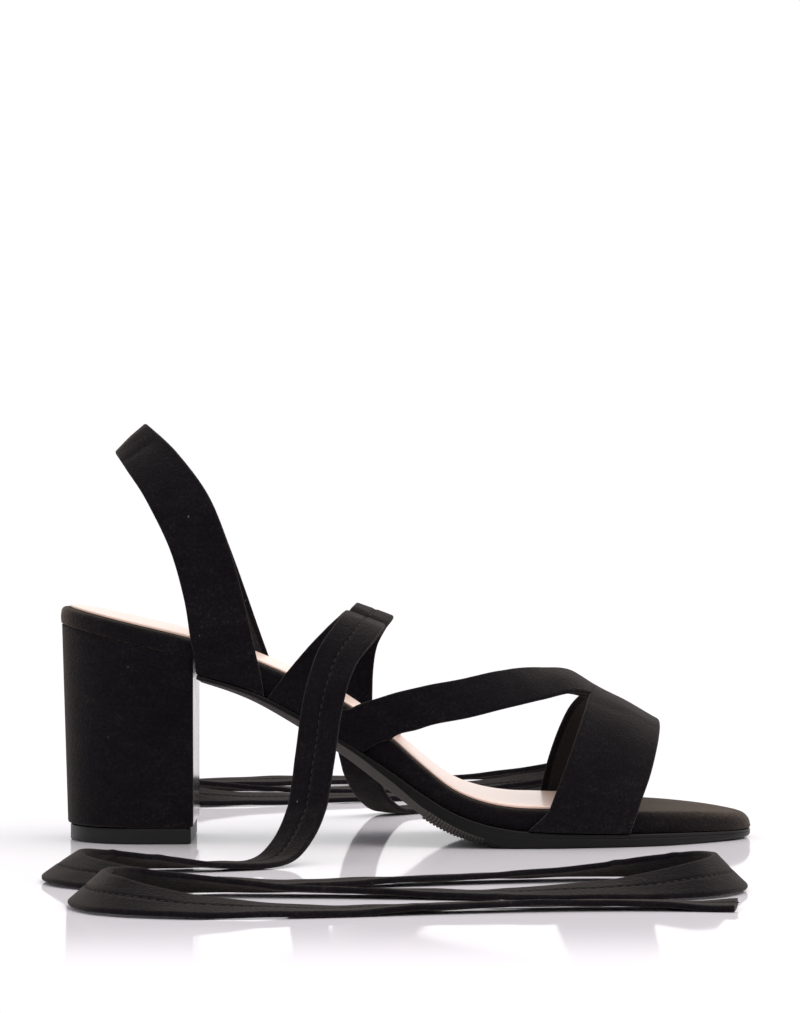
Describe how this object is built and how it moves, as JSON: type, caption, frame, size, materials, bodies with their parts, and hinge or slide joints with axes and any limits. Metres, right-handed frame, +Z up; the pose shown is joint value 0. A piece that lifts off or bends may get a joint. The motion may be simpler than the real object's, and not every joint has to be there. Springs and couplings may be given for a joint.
{
  "type": "heeled sandal",
  "caption": "Block-heeled open-toe sandal with crossed instep straps under a toe band, a sling behind the ankle and long flat ankle ties lying undone beside it.",
  "frame": {"origin": "on the floor under the middle of the shoe's box, without its ties", "axes": "+X to the toe, +Y to the inner side of the foot, +Z up"},
  "size_m": [0.2316, 0.5216, 0.1386],
  "materials": {
    "platform_suede": "black suede cover, matt",
    "sock": "peach sock lining, satin",
    "outsole_rubber": "black moulded rubber, half gloss",
    "heel_suede": "black suede cover, matt",
    "heel_rubber": "black rubber, half gloss",
    "strap_suede": "black suede, matt",
    "tie_suede": "black suede tape, matt"
  },
  "bodies": {
    "root": {"platform": "platform_suede", "sock_lining": "sock", "outsole": "outsole_rubber", "heel_block": "heel_suede", "heel_top_piece": "heel_rubber", "upper": "strap_suede", "heel_sling": "strap_suede", "tie_outer": "tie_suede", "tie_inner": "tie_suede"}
  },
  "joints": []
}
